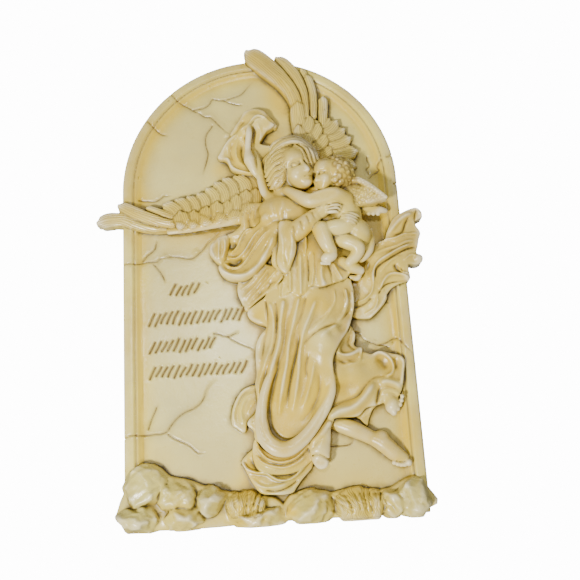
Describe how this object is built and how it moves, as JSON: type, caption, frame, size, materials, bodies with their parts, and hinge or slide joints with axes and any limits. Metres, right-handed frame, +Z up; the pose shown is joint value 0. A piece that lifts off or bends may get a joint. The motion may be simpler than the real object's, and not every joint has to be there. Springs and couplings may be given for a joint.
{
  "type": "cherub wall plaque",
  "caption": "Arched wall plaque in cast resin with a winged angel carrying a cherub in high relief above boulders and grass.",
  "frame": {"origin": "the point on the flat back that bears on the wall, on the slab's centre line just above the moulded keyhole", "axes": "+Z up the plaque, +Y out of the flat back into the wall, +X to the right of someone facing the carving"},
  "size_m": [0.1837, 0.0334, 0.272],
  "materials": {
    "resin": "satin ivory with a honey-brown wash left in the recesses"
  },
  "bodies": {
    "root": {"plaque": "resin"}
  },
  "joints": []
}
